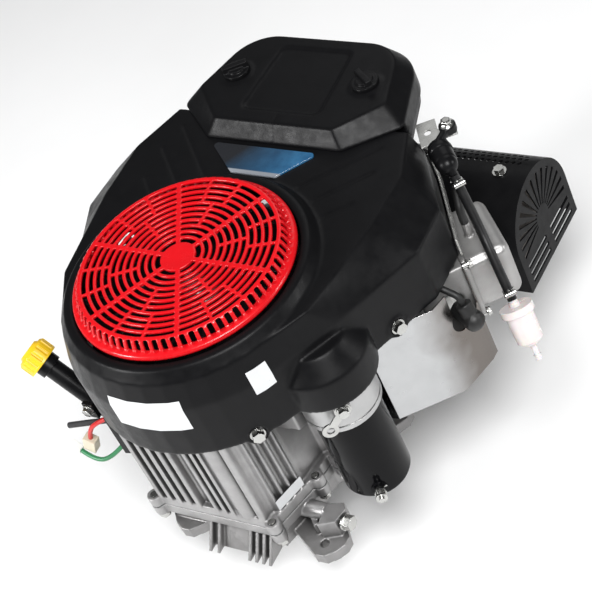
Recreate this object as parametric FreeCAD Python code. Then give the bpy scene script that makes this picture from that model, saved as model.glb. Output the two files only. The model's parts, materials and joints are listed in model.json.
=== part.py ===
import FreeCAD, Part
import math
import os

os.makedirs("parts", exist_ok=True)

V = FreeCAD.Vector

# Frame: origin on the crankshaft axis at the mounting face, +Z up, +Y towards the air cleaner,
# +X towards the right-hand cylinder.  All lengths in millimetres.

# Overall heights
FOOT_T = 14.0
SPLIT_Z = 46.0
CASE_TOP = 230.0
FIN_TOP = 221.0
HOUSING_Z0 = 222.0
SHOULDER_Z = 290.0
HOUSING_TOP = 322.0
COVER_TOP = 343.0
SCREEN_TOP = 353.0
WALL = 3.0

# Mounting
MOUNT_R = 127.0
FOOT_HOLE_R = 5.0
PTO_R = 12.7
PTO_LEN = 80.0

# Cylinders, seen along each cylinder axis from the crankshaft axis
BANK_DEG = {"right": 45.0, "left": 135.0}
BANK_Z = {"right": 178.0, "left": 156.0}
BORE_R = 40.0
STROKE = 70.0
DECK_U = 92.0
JUG_END_U = 198.0
HEAD_END_U = 252.0
COVER_END_U = 305.0

# Crankshaft and camshaft
THROW = 35.0
JOURNAL_R = 17.5
CRANK_R = 15.0
CAM_XY = (-56.0, -26.0)
CRANK_TEETH = 20
CAM_TEETH = 40
GEAR_Z = (64.0, 76.0)

# Starter
STARTER_XY = (134.0, -14.0)
CAN_R = 37.0
CAN_Z = (60.0, 176.0)
NOSE_R = 42.0
NOSE_Z = (176.1, 219.0)

# Red rotating screen
HUB_R = 19.0
RING_R0 = 26.5
RING_STEP = 7.9
RING_COUNT = 10
RING_W = 3.6
SCREEN_LIP_R = 104.2
# Radius and height round the slotted skirt
SKIRT_PROFILE = [(104.2, 353), (108.2, 353), (110.8, 351.2), (113.8, 342.5), (119.2, 339.6), (120.3, 337.6),
                 (120.3, 335), (116.5, 335), (111, 340), (108.2, 349.4), (104.2, 349.6)]
SKIRT_SLOTS = 72

# Muffler guard
GUARD_X = (-110.0, 205.0)
GUARD_YZ = (309.0, 118.0)
GUARD_R = 64.0
GUARD_FLAT_Z = 62.0
GUARD_BOLT_X = (-50.0, 171.0)
# Rows of vent holes: angle up from the back, and shift along X
GUARD_HOLE_ROWS = [(57.0, 0.0), (65.5, 3.8), (74.0, 0.0), (25.0, -19.0), (16.5, -25.2), (8.0, -38.0)]
GUARD_HOLE_PITCH = 7.6

# Oil fill tube
TUBE_BASE = V(-110.0, -66.0, 106.0)
TUBE_TOP = V(-209.5, -61.8, 210.8)
TUBE_R = 11.0

# Fuel hose, clamp end first
HOSE_R = 5.15
FUEL_HOSE = [(200.8, 199.6, 292.6), (219.0, 184.0, 247.0), (240.0, 162.0, 211.0), (256.0, 146.0, 174.0)]
# Harness pieces that hang free, held end first
LEAD_R = 2.6
SLEEVE_R = 3.4
CHARGE_LEAD = [(-119.6, -92.4, 176.0), (-136.0, -98.0, 170.0), (-150.0, -101.0, 157.0), (-156.0, -101.0, 142.0)]
STOP_LEAD = [(-119.4, -96.4, 133.0), (-135.0, -106.0, 119.0), (-156.0, -111.0, 114.0), (-175.0, -107.0, 122.0)]
HARNESS_SLEEVE = [(-119.5, -86.0, 166.0), (-139.0, -91.0, 163.0), (-160.0, -97.0, 161.0), (-180.0, -99.0, 155.0)]

# Plan outlines
CASE_OUTLINE = [(-100, -98), (43, -98), (58, -45), (62, -8), (106, 24), (24, 106),
                (-24, 106), (-106, 24), (-114, -30)]
HOUSING_WALL = [(121, -85), (165, -5), (208, 98), (205, 155), (150, 232)]
HOUSING_CROWN = [(115, -80), (150, -20), (165, 92), (166, 165), (145, 225)]
WALL_R = 148.0
CROWN_R = 140.0
BADGE_OUTLINE = [(61, 180), (27, 141.3), (-29, 141.3), (-76, 180)]
# Air cleaner cover, right half, each corner as x, y, radius
COVER_RIM = [(84, 186, 6), (139, 229, 9), (106, 337, 58)]
COVER_CROWN = [(74, 198, 6), (117, 242, 8), (92, 327, 48)]
COVER_DISH = [(49, 216, 9), (43, 312, 9), (-47, 312, 9), (-51, 216, 9)]
KNOB_XY = ((-81.5, 266.0), (81.5, 266.0))


def box(x0, x1, y0, y1, z0, z1):
    return Part.makeBox(x1 - x0, y1 - y0, z1 - z0, V(x0, y0, z0))


def cyl(r, z0, z1, x=0.0, y=0.0):
    return Part.makeCylinder(r, z1 - z0, V(x, y, z0), V(0, 0, 1))


def rod(p, q, r):
    start = V(p[0], p[1], p[2])
    run = V(q[0], q[1], q[2]) - start
    return Part.makeCylinder(r, run.Length, start, run)


def tube(r_out, r_in, z0, z1, x=0.0, y=0.0):
    return cyl(r_out, z0, z1, x, y).cut(cyl(r_in, z0 - 1, z1 + 1, x, y))


def prism(points, z0, z1):
    corners = [V(x, y, z0) for x, y in points]
    wire = Part.makePolygon(corners + [corners[0]])
    return Part.Face(wire).extrude(V(0, 0, z1 - z0))


def prism_x(points, x0, x1):
    corners = [V(x0, y, z) for y, z in points]
    wire = Part.makePolygon(corners + [corners[0]])
    return Part.Face(wire).extrude(V(x1 - x0, 0, 0))


def fuse(shapes):
    return shapes[0].multiFuse(shapes[1:]).removeSplitter()


def cut(shape, tools):
    return shape.cut(tools)


def turned(shape, degrees):
    copy = shape.copy()
    copy.rotate(V(0, 0, 0), V(0, 0, 1), degrees)
    return copy


def moved(shape, x, y, z):
    copy = shape.copy()
    copy.translate(V(x, y, z))
    return copy


def around(shape, count, start=0.0):
    return [turned(shape, start + 360.0 * i / count) for i in range(count)]


def mirrored(points):
    return points + [(-p[0],) + tuple(p[1:]) for p in reversed(points)]


def rounded_wire(corners, inset, z):
    """A closed wire through (x, y, radius) corners, moved inwards by inset."""
    arcs = []
    for i, (x, y, r) in enumerate(corners):
        here = V(x, y, z)
        before = (V(corners[i - 1][0], corners[i - 1][1], z) - here).normalize()
        after_corner = corners[(i + 1) % len(corners)]
        after = (V(after_corner[0], after_corner[1], z) - here).normalize()
        half = before.getAngle(after) / 2.0
        inward = (before + after).normalize()
        centre = here + inward * (r / math.sin(half))
        k = (r - inset) / r
        ends = [here + before * (r / math.tan(half)), centre - inward * r, here + after * (r / math.tan(half))]
        arcs.append([centre + (e - centre) * k for e in ends])
    edges = []
    for i, (a, mid, c) in enumerate(arcs):
        edges.append(Part.Arc(a, mid, c).toShape())
        edges.append(Part.LineSegment(c, arcs[(i + 1) % len(arcs)][0]).toShape())
    return Part.Wire(edges)


def rounded_slab(corners, inset, z0, z1):
    return Part.Face(rounded_wire(corners, inset, z0)).extrude(V(0, 0, z1 - z0))


def offset_outline(points, distance):
    corners = [V(x, y, 0) for x, y in points]
    wire = Part.makePolygon(corners + [corners[0]])
    moved_wire = wire.makeOffset2D(distance, 2)
    return Part.Face(moved_wire)


def slab(points, distance, z0, z1):
    face = offset_outline(points, distance)
    face.translate(V(0, 0, z0))
    return face.extrude(V(0, 0, z1 - z0))


def on_bank(shape, side):
    copy = turned(shape, BANK_DEG[side])
    copy.translate(V(0, 0, BANK_Z[side]))
    return copy


def bank_cyl(r, u0, u1, v=0.0, w=0.0):
    return Part.makeCylinder(r, u1 - u0, V(u0, v, w), V(1, 0, 0))


def hex_head(centre, axis, across, height):
    r = across / math.sqrt(3.0)
    corners = [V(r * math.cos(math.radians(60 * i)), r * math.sin(math.radians(60 * i)), 0) for i in range(6)]
    head = Part.Face(Part.makePolygon(corners + [corners[0]])).extrude(V(0, 0, height))
    head.Placement = FreeCAD.Placement(V(*centre), FreeCAD.Rotation(V(0, 0, 1), V(*axis)))
    return head


def bolt(seat, axis, across, shank_r, shank_len, flange_r=0.0):
    """Head grows from seat along axis, shank runs the other way."""
    direction = V(*axis).normalize()
    start = V(*seat)
    head_h = 0.62 * across
    pieces = [hex_head(seat, axis, across, head_h)]
    pieces.append(Part.makeCylinder(shank_r, shank_len, start, direction * -1.0))
    if flange_r > 0:
        pieces.append(Part.makeCylinder(flange_r, 1.6, start, direction))
    return fuse(pieces)


def bent_tube(points, radius):
    """Straight runs joined by tangent arcs, radius 0.45 of the shorter run over tan(half turn)."""
    pts = [V(*p) for p in points]
    edges = []
    start = pts[0]
    for i in range(1, len(pts) - 1):
        before = (pts[i] - pts[i - 1])
        after = (pts[i + 1] - pts[i])
        set_back = 0.45 * min(before.Length, after.Length)
        turn = before.getAngle(after)
        print("turn %.1f deg, arc radius %.1f mm" % (math.degrees(turn), set_back / math.tan(turn / 2.0)))
        a = pts[i] - before.normalize() * set_back
        c = pts[i] + after.normalize() * set_back
        bend = set_back / math.tan(turn / 2.0)
        inward = ((a - pts[i]).normalize() + (c - pts[i]).normalize()).normalize()
        centre = pts[i] + inward * math.hypot(bend, set_back)
        mid = centre - inward * bend
        edges.append(Part.LineSegment(start, a).toShape())
        edges.append(Part.Arc(a, mid, c).toShape())
        start = c
    edges.append(Part.LineSegment(start, pts[-1]).toShape())
    path = Part.Wire(edges)
    along = (pts[1] - pts[0])
    section = Part.Wire(Part.Circle(pts[0], along, radius).toShape())
    length = path.Length
    shape = path.makePipeShell([section], True, False)
    print("tube length %.1f mm, volume ratio %.4f" % (length, shape.Volume / (math.pi * radius ** 2 * length)))
    return shape


def gear(teeth, pitch_r, module, z0, z1, x, y, phase):
    """Straight-sided teeth with generous backlash."""
    pitch = 2.0 * math.pi / teeth
    tip = pitch_r + 0.8 * module
    root = pitch_r - 1.2 * module
    pts = []
    for i in range(teeth):
        mid = phase + i * pitch
        for radius, share in ((root, -0.25), (tip, -0.12), (tip, 0.12), (root, 0.25)):
            a = mid + share * pitch
            pts.append((x + radius * math.cos(a), y + radius * math.sin(a)))
    return prism(pts, z0, z1)


# ---------------------------------------------------------------- crankcase and sump

def flange_bolt_points():
    return [(-107, -105), (49, -105), (68, -38), (79, -8), (106, 36), (38, 104),
            (-38, 104), (-106, 36), (-123, -30)]


def crankcase():
    outer = prism(CASE_OUTLINE, SPLIT_Z + 0.4, CASE_TOP)
    flange = slab(CASE_OUTLINE, 8.0, SPLIT_Z + 0.4, 60.0)
    ears = [cyl(8.5, SPLIT_Z + 0.4, 60.0, x, y) for x, y in flange_bolt_points()]
    fins = [box(-98 + 13 * i, -92 + 13 * i, -108, -97, 59, FIN_TOP) for i in range(5)]
    fins += [box(-22 + 11 * i, -17 + 11 * i, -108, -97, 59, FIN_TOP) for i in range(3)]
    fins += [cyl(12.0, 59, FIN_TOP, 17, -97)]
    fins += [box(33, 37, -106, -97, 59, FIN_TOP), box(39, 43, -106, -97, 59, FIN_TOP)]
    side = box(0, 9, -2.2, 2.2, 59, FIN_TOP)
    for i in range(4):
        rib = turned(side, 15.0)
        fins.append(moved(rib, 43 + 3.1 * i, -90 + 11 * i, 0))
    for i in range(4):
        rib = turned(side, 168.0)
        fins.append(moved(rib, -104.5 - 2.3 * i, -74 + 12 * i, 0))
    boss = cyl(34.0, CASE_TOP - 1, 238.0)
    starter_pad = prism([(58, -45), (62, -8), (104, 20), (104, 2), (96, -20), (88, -44)], 150, 200)
    tube_boss = rod((-96, -66.6, 91.3), TUBE_BASE, 15.0)
    body = fuse([outer, flange, boss, starter_pad, tube_boss] + ears + fins)
    inner = slab(CASE_OUTLINE, -7.0, SPLIT_Z - 5, CASE_TOP - 8)
    tools = [inner, cyl(26.0, CASE_TOP - 20, 240)]
    for side_name in ("right", "left"):
        tools.append(on_bank(bank_cyl(BORE_R + 6.3, 70, 120), side_name))
    tools += [cyl(4.2, SPLIT_Z - 1, 70, x, y) for x, y in flange_bolt_points()]
    tools.append(cyl(NOSE_R + 0.6, 140, 216, *STARTER_XY))
    tools.append(rod((-80, -67.3, 74.4), (-130, -65.2, 127.1), TUBE_R - 2.0))
    tools.append(rod(TUBE_BASE, TUBE_BASE + (TUBE_TOP - TUBE_BASE) * 0.4, TUBE_R + 4.5))
    return cut(body, tools)


def gasket():
    plate = slab(CASE_OUTLINE, 7.5, SPLIT_Z - 0.38, SPLIT_Z + 0.38)
    ears = [cyl(8.2, SPLIT_Z - 0.38, SPLIT_Z + 0.38, x, y) for x, y in flange_bolt_points()]
    hole = slab(CASE_OUTLINE, -6.5, SPLIT_Z - 1, SPLIT_Z + 1)
    holes = [cyl(4.4, SPLIT_Z - 1, SPLIT_Z + 1, x, y) for x, y in flange_bolt_points()]
    return cut(fuse([plate] + ears), [hole] + holes)


def foot(angle):
    r = MOUNT_R
    pad = prism([(84, -26), (r - 6, -18), (r + 8, -15), (r + 16, -6), (r + 17, 8), (r + 14, 20), (r + 6, 27),
                 (84, 30)], 0, FOOT_T)
    rib = prism_x([(-3, 0), (3, 0), (3, 30), (-3, 30)], 80, 112)
    return turned(fuse([pad, rib]), angle)


def sump_ribs():
    profile = [(-100, 36), (-126, 3), (-100, 3)]
    xs = [-46, -35, 6, 15, 24, 33]
    return [prism_x(profile, x, x + 4.5) for x in xs]


def sump():
    flange = slab(CASE_OUTLINE, 8.0, 32.0, SPLIT_Z - 0.4)
    ears = [cyl(8.5, 32.0, SPLIT_Z - 0.4, x, y) for x, y in flange_bolt_points()]
    body = prism(CASE_OUTLINE, 4.0, 33.0)
    nose = prism_x([(-97, 30), (-116, 3), (-97, 3)], -46, 36)
    feet = [foot(a) for a in (45, 135, 225, 315)]
    pilot = cyl(46.0, 0.0, 8.0)
    outlet = Part.makeCylinder(10.0, 30.0, V(55, -62, 31), V(1, 0, 0))
    wing = prism([(86, -84), (104, -76), (108, -58), (102, -50), (82, -56)], FOOT_T - 1, 38)
    bearing = cyl(36.0, 4.0, 30.0)
    solid = fuse([flange, body, nose, pilot, outlet, wing] + ears + feet + sump_ribs())
    hollow = slab(CASE_OUTLINE, -7.0, 12.0, SPLIT_Z + 5)
    solid = cut(solid, [hollow])
    solid = fuse([solid, bearing])
    tools = [cyl(27.0, 10.0, 31.0), cyl(PTO_R + 6.0, -1, 20)]
    tools += [cyl(FOOT_HOLE_R, -1, 40, MOUNT_R * math.cos(math.radians(a)), MOUNT_R * math.sin(math.radians(a)))
              for a in (45, 135, 225, 315)]
    tools += [cyl(4.2, 20, 60, x, y) for x, y in flange_bolt_points()]
    tools.append(Part.makeCylinder(4.0, 12.0, V(76, -62, 31), V(1, 0, 0)))
    tools.append(Part.makeCylinder(6.05, 24.0, V(86, -67, 28), V(1, 0, 0)))
    tools.append(cyl(8.06, 8.0, 25.0, *CAM_XY))
    return cut(solid, tools)


def crankcase_bolts():
    return [bolt((x, y, 31.9), (0, 0, -1), 12.0, 4.0, 29.0, 7.6) for x, y in flange_bolt_points()]


def drain_plug():
    head_piece = hex_head((110.3, -67, 28), (1, 0, 0), 15.0, 8.0)
    collar = Part.makeCylinder(9.5, 2.2, V(108.2, -67, 28), V(1, 0, 0))
    shank = Part.makeCylinder(6.0, 18.0, V(90.3, -67, 28), V(1, 0, 0))
    return fuse([head_piece, collar, shank])


def bearings():
    """A ball bearing and a shaft seal at each end of the crankshaft."""
    bore = JOURNAL_R + 0.05
    return [tube(PTO_R + 6.0, PTO_R + 0.55, 1.0, 8.0), ball_bearing(10.5, 30.0, bore, 27.0),
            tube(26.0, bore, 231.0, 237.5), ball_bearing(211.0, 230.5, bore, 26.0)]


def back_plate():
    """Sheet under the flywheel that closes the blower housing, cut away for what passes through it."""
    plate = slab(housing_points(HOUSING_WALL, WALL_R), -(WALL + 2.0), 239.2, 240.7)
    legs = [cyl(5.0, CASE_TOP + 0.05, 239.8, x, y) for x, y in ((55, 45), (-55, 45), (-55, -50), (30, -60))]
    tools = [cyl(36.0, 235.0, 245.0), cyl(30.0, 235.0, 250.0, *STARTER_XY), box(-45, 45, 165, 260, 235, 245)]
    tools += [cyl(11.0, 235.0, 245.0, x, 97.6) for x in (181, -181)]
    tools += [Part.makeCylinder(14.0, 30.0, c - out * 16.0, out) for c, out in wall_seats()[2:]]
    return cut(fuse([plate] + legs), tools)


def ball_bearing(z0, z1, r_in, r_out):
    inner = tube(r_in + 4.0, r_in, z0, z1)
    outer = tube(r_out, r_out - 3.0, z0, z1)
    shield = tube(r_out - 2.0, r_in + 3.0, z0 + 2, z1 - 2)
    return fuse([inner, outer, shield])


# ---------------------------------------------------------------- cylinders and heads

def cylinder(side):
    barrel = bank_cyl(BORE_R + 7.0, DECK_U + 0.05, JUG_END_U)
    spigot = bank_cyl(BORE_R + 6.0, DECK_U - 8.0, DECK_U + 1)
    base = box(DECK_U + 0.05, DECK_U + 9, -52, 52, -46, 46)
    top = box(JUG_END_U - 8, JUG_END_U, -50, 50, -44, 44)
    fins = [box(107 + 10.5 * i, 110.2 + 10.5 * i, -54, 54, -47, 47) for i in range(8)]
    body = fuse([barrel, spigot, base, top] + fins)
    body = cut(body, [bank_cyl(BORE_R, DECK_U - 20, JUG_END_U + 5)])
    return on_bank(body, side)


def head_gasket(side):
    plate = box(JUG_END_U + 0.02, JUG_END_U + 1.0, -50, 50, -44, 44)
    return on_bank(plate.cut(bank_cyl(BORE_R + 1.0, JUG_END_U - 5, JUG_END_U + 5)), side)


def exhaust_sign(side):
    return 1.0 if side == "right" else -1.0


def head(side):
    s = exhaust_sign(side)
    u0 = JUG_END_U + 1.02
    core = box(u0, HEAD_END_U, -50, 50, -42, 42)
    slots = []
    for i in range(8):
        v = -44.0 + 11.3 * i
        slots.append(box(u0 + 7, HEAD_END_U - 7, v, v + 5.5, 26, 60))
        slots.append(box(u0 + 7, HEAD_END_U - 7, v, v + 5.5, -60, -26))
    chamber = bank_cyl(34.0, u0 - 1, u0 + 9)
    port_boss = Part.makeCylinder(15.0, 14.0, V(226, s * 48.0, -20), V(0, s, 0))
    body = cut(core, slots + [chamber])
    body = fuse([body, port_boss])
    port = Part.makeCylinder(11.0, 40.0, V(226, s * 25.0, -20), V(0, s, 0))
    inlet = Part.makeCylinder(12.0, 26.0, V(226, s * 26.0, 18), V(0, s, 0))
    plug = rod((216, -s * 8.0, 0), (232, -s * 60.0, 0), 7.1)
    axis = V(16, -s * 52.0, 0).normalize()
    seat = Part.makeCylinder(12.5, 30.0, V(216, -s * 8.0, 0) + axis * 37.0, axis)
    return on_bank(cut(body, [port, inlet, plug, seat]), side)


def valve_cover(side):
    flange = box(HEAD_END_U + 0.05, HEAD_END_U + 6, -49, 49, -41, 41)
    flange = flange.makeFillet(8.0, [e for e in flange.Edges if abs(e.Length - (5.95)) < 0.01])
    dome = box(HEAD_END_U + 0.05, COVER_END_U, -44, 44, -36, 36)
    dome = dome.makeFillet(11.0, [e for e in dome.Edges if e.BoundBox.XMax > HEAD_END_U + 5])
    body = fuse([flange, dome])
    hollow = box(HEAD_END_U - 1, COVER_END_U - 5, -37, 37, -29, 29)
    holes = [bank_cyl(3.1, HEAD_END_U - 1, HEAD_END_U + 20, v, w) for v in (-45, 45) for w in (-37, 37)]
    cups = [bank_cyl(7.0, HEAD_END_U + 6, COVER_END_U + 1, v, w) for v in (-45, 45) for w in (-37, 37)]
    body = cut(body, [hollow] + holes + cups)
    if side == "right":
        body = fuse([body, Part.makeCylinder(4.6, 20.0, V(275, -5.0, 34.0), V(0, 0, 1))])
    return on_bank(body, side)


def valve_cover_bolts(side):
    bolts = []
    for v in (-45, 45):
        for w in (-37, 37):
            screw = bolt((HEAD_END_U + 6.02, v, w), (1, 0, 0), 8.0, 3.0, 5.9, 5.2)
            bolts.append(on_bank(screw, side))
    return bolts


def spark_plug(side):
    s = exhaust_sign(side)
    axis = V(16, -s * 52.0, 0).normalize()
    start = V(216, -s * 8.0, 0)
    thread = Part.makeCylinder(7.0, 36.0, start + axis * 10, axis)
    hexagon = hex_head(tuple(start + axis * 44.5), tuple(axis), 19.0, 8.0)
    insulator = Part.makeCylinder(5.2, 20.0, start + axis * 50, axis)
    return on_bank(fuse([thread, hexagon, insulator]), side)


def plug_cap(side):
    s = exhaust_sign(side)
    axis = V(16, -s * 52.0, 0).normalize()
    start = V(216, -s * 8.0, 0)
    barrel = Part.makeCylinder(11.0, 32.0, start + axis * 53.5, axis)
    elbow = Part.makeSphere(11.5, start + axis * 80)
    top = start + axis * 80
    spout = Part.makeCylinder(8.5, 22.0, top, V(-0.15, s * 0.35, 0.92))
    body = fuse([barrel, elbow, spout])
    bore = Part.makeCylinder(5.3, 18.2, start + axis * 52.5, axis)
    return on_bank(cut(body, [bore]), side)


def plug_lead(side):
    s = exhaust_sign(side)
    axis = V(16, -s * 52.0, 0).normalize()
    top = V(216, -s * 8.0, 0) + axis * 80
    spout = V(-0.15, s * 0.35, 0.92).normalize()
    start = top + spout * 22.05
    knee = start + spout * 10.0
    rise = 0.0 if side == "right" else 22.0
    points = [tuple(start), tuple(knee), (222.0, -s * 60.0, 38.0 + 0.4 * rise),
              (208.0, -s * 57.5, 54.0 + rise), (190.0, -s * 60.0, 66.0 + rise)]
    return on_bank(bent_tube(points, 3.6), side)


# ---------------------------------------------------------------- crank train

def crankshaft():
    pieces = [cyl(PTO_R, -PTO_LEN, -1.0), cyl(PTO_R + 0.5, -1.0, 12.0)]
    pieces += [cyl(JOURNAL_R, 9.0, 34.0), cyl(CRANK_R, 33.0, 134.0)]
    pieces += [cyl(17.0, 143.0, 191.0, 0, THROW)]
    for z0, z1 in ((133.0, 144.0), (190.0, 201.0)):
        web = fuse([cyl(22.0, z0, z1, 0, 28.0), box(-20, 20, -10, 28, z0, z1), cyl(46.0, z0, z1)])
        web = cut(web, [box(-60, -30, -10, 60, z0 - 1, z1 + 1), box(30, 60, -10, 60, z0 - 1, z1 + 1)])
        pieces.append(web)
    pieces += [cyl(JOURNAL_R, 200.0, 246.0), cyl(14.0, 245.0, 300.0), cyl(10.0, 299.0, 318.0)]
    shaft = fuse(pieces)
    keyway = box(-3.18, 3.18, PTO_R - 3.2, PTO_R + 2, -PTO_LEN - 1, -20)
    hole = cyl(4.7, -PTO_LEN - 1, -PTO_LEN + 32)
    return cut(shaft, [keyway, hole])


def crank_gear():
    centre = math.hypot(*CAM_XY)
    r = centre / 3.0
    angle = math.atan2(CAM_XY[1], CAM_XY[0])
    wheel = gear(CRANK_TEETH, r, 2 * r / CRANK_TEETH, GEAR_Z[0], GEAR_Z[1], 0, 0, angle)
    return wheel.cut(cyl(CRANK_R, GEAR_Z[0] - 1, GEAR_Z[1] + 1))


def cam_gear():
    centre = math.hypot(*CAM_XY)
    r = 2.0 * centre / 3.0
    angle = math.atan2(-CAM_XY[1], -CAM_XY[0])
    x, y = CAM_XY
    wheel = gear(CAM_TEETH, r, 2 * r / CAM_TEETH, GEAR_Z[0], GEAR_Z[1], x, y, angle + math.pi / CAM_TEETH)
    holes = [cyl(7.0, GEAR_Z[0] - 1, GEAR_Z[1] + 1, x + 24 * math.cos(a), y + 24 * math.sin(a))
             for a in (0.3, 1.87, 3.44, 5.01)]
    return wheel.cut([cyl(9.0, GEAR_Z[0] - 1, GEAR_Z[1] + 1, x, y)] + holes)


def camshaft():
    x, y = CAM_XY
    pieces = [cyl(8.0, 12.5, 60.0, x, y), cyl(9.0, 60.0, 132.0, x, y)]
    for z0, angle in ((84, 20), (94, 110), (108, 200), (118, 290)):
        a = math.radians(angle)
        pieces.append(cyl(12.0, z0, z0 + 8, x, y))
        pieces.append(cyl(7.0, z0, z0 + 8, x + 8 * math.cos(a), y + 8 * math.sin(a)))
    return fuse(pieces)


def piston(side):
    u = DECK_U + 58.0
    body = bank_cyl(BORE_R - 0.35, u - 22, u + 26)
    grooves = [bank_cyl(BORE_R + 2, u + 20 - 5 * i, u + 21.6 - 5 * i).cut(bank_cyl(BORE_R - 3, u - 30, u + 30))
               for i in range(3)]
    hollow = bank_cyl(BORE_R - 6.0, u - 30, u + 18)
    pin_hole = rod((u, 0, -60), (u, 0, 60), 9.0)
    bosses = [box(u - 14, u + 19, -12, 12, w, w + 14) for w in (-34, 20)]
    shell = fuse([body.cut(hollow)] + [b.common(bank_cyl(BORE_R - 2, 0, 300)) for b in bosses])
    return on_bank(cut(shell, grooves + [pin_hole]), side)


def piston_pin(side):
    u = DECK_U + 58.0
    pin = rod((u, 0, -33.5), (u, 0, 33.5), 9.0).cut(rod((u, 0, -60), (u, 0, 60), 5.5))
    return on_bank(pin, side)


def piston_rings(side):
    u = DECK_U + 58.0
    rings = []
    for i in range(3):
        outer = bank_cyl(BORE_R - 0.06, u + 20.1 - 5 * i, u + 21.5 - 5 * i)
        ring = outer.cut(bank_cyl(BORE_R - 2.9, u - 30, u + 30))
        rings.append(on_bank(ring, side))
    return rings


def flywheel():
    disc = cyl(112.0, 250.0, 262.0)
    rim = tube(112.0, 86.0, 261.0, 296.0)
    hub = cyl(30.0, 246.5, 290.0)
    body = fuse([disc, rim, hub])
    magnets = box(104, 120, -26, 26, 266, 290)
    body = cut(body, [cyl(14.0, 240, 300), turned(magnets, 60)])
    return cut(body, around(cyl(9.0, 240, 270, 56, 0), 6, 30.0))


def flywheel_magnet():
    block = box(104, 120, -25.9, 25.9, 266.1, 289.9)
    return turned(block.common(cyl(111.6, 260, 300)), 60)


def ring_gear():
    teeth = 110
    wheel = gear(teeth, 119.0, 2.16, 250.2, 261.8, 0, 0, 0.0)
    return wheel.cut(cyl(112.0, 240, 270))


def flywheel_nut():
    nut = hex_head((0, 0, 293.2), (0, 0, 1), 30.0, 15.0)
    washer = tube(20.0, 14.0, 290.05, 293.2)
    return fuse([nut.cut(cyl(10.0, 280, 320)).cut(cyl(14.0, 280, 300.05)), washer])


def fan():
    plate = tube(114.0, 24.0, 297.0, 300.0)
    outer = tube(114.0, 111.0, 299.0, 312.0)
    blade = box(62, 110, -1.4, 1.4, 299.5, 330.0)
    blade.rotate(V(62, 0, 0), V(0, 0, 1), -24)
    posts = around(cyl(3.2, 299.5, 348.95, 45, 0), 6)
    return fuse([plate, outer] + around(blade, 18) + posts)


def screen_skirt():
    corners = [V(r, 0, z) for r, z in SKIRT_PROFILE]
    face = Part.Face(Part.makePolygon(corners + [corners[0]]))
    slot = box(105.6, 117.5, -2.8, 2.8, 340.8, 351.9)
    return cut(face.revolve(V(0, 0, 0), V(0, 0, 1), 360), around(slot, SKIRT_SLOTS, 2.5))


def screen():
    z0, z1 = SCREEN_TOP - 3.4, SCREEN_TOP
    rings = [tube(RING_R0 + RING_STEP * i + RING_W / 2, RING_R0 + RING_STEP * i - RING_W / 2, z0, z1)
             for i in range(RING_COUNT)]
    hub = cyl(HUB_R, z0 - 0.6, z1)
    spokes = around(box(HUB_R - 2, SCREEN_LIP_R + 1.3, -2.5, 2.5, z0, z1 - 0.3), 6)
    long_rib = box(74, SCREEN_LIP_R + 1.3, -1.5, 1.5, z0, z1 - 0.3)
    short_rib = box(42, 74, -1.5, 1.5, z0, z1 - 0.3)
    ribs = around(long_rib, 6, 20) + around(long_rib, 6, 40) + around(short_rib, 6, 30)
    seats = around(cyl(3.4, z0 - 0.6, z0 + 0.5, 45, 0), 6)
    return fuse([screen_skirt(), hub] + rings + spokes + ribs + seats)


# ---------------------------------------------------------------- blower housing

def housing_points(half, front_r):
    left = [(-x, y) for x, y in reversed(half)]
    front = []
    for i in range(1, 12):
        a = math.radians(215 + 110.0 * i / 12)
        front.append((front_r * math.cos(a), front_r * math.sin(a)))
    return half + left + front


def housing_walls(inset, z0, z_shoulder, z_top):
    """Upright wall to the shoulder, then a tapered crown."""
    wall = housing_points(HOUSING_WALL, WALL_R)
    crown = housing_points(HOUSING_CROWN, CROWN_R)
    lower = slab(wall, -inset, z0, z_shoulder)
    rim = offset_outline(wall, -inset).OuterWire
    rim.translate(V(0, 0, z_shoulder))
    top = offset_outline(crown, -inset).OuterWire
    top.translate(V(0, 0, z_top))
    return [lower, Part.makeLoft([rim, top], True, True)]


def housing_shape(inset, z0, z_shoulder, z_top, bulge_r):
    x, y = STARTER_XY
    bulge = cyl(bulge_r, z0, 258.0 - inset, x, y)
    dome = Part.makeCone(bulge_r, bulge_r - 18.0, 22.0, V(x, y, 258.0 - inset), V(0, 0, 1))
    return fuse(housing_walls(inset, z0, z_shoulder, z_top) + [bulge, dome])


def groove(x0, y0, x1, y1, side):
    run = math.hypot(x1 - x0, y1 - y0)
    bar = box(0, run, -1.6, 1.6, HOUSING_TOP - 1.3, HOUSING_TOP + 1)
    bar = turned(bar, math.degrees(math.atan2(y1 - y0, x1 - x0)))
    bar = moved(bar, x0, y0, 0)
    return bar if side > 0 else bar.mirror(V(0, 0, 0), V(1, 0, 0))


def wall_seats():
    """Bolt seats on the lower edge of the housing wall: position and outward direction."""
    a = math.radians(-46)
    b = math.radians(-152)
    return [(V(147.0 * math.cos(a), 147.0 * math.sin(a), 226.0), V(math.cos(a), math.sin(a), 0)),
            (V(147.0 * math.cos(b), 147.0 * math.sin(b), 226.0), V(math.cos(b), math.sin(b), 0)),
            (V(188.5, 48.0, 230.0), V(103, -43, 0).normalize()),
            (V(-188.5, 48.0, 230.0), V(-103, -43, 0).normalize())]


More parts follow.
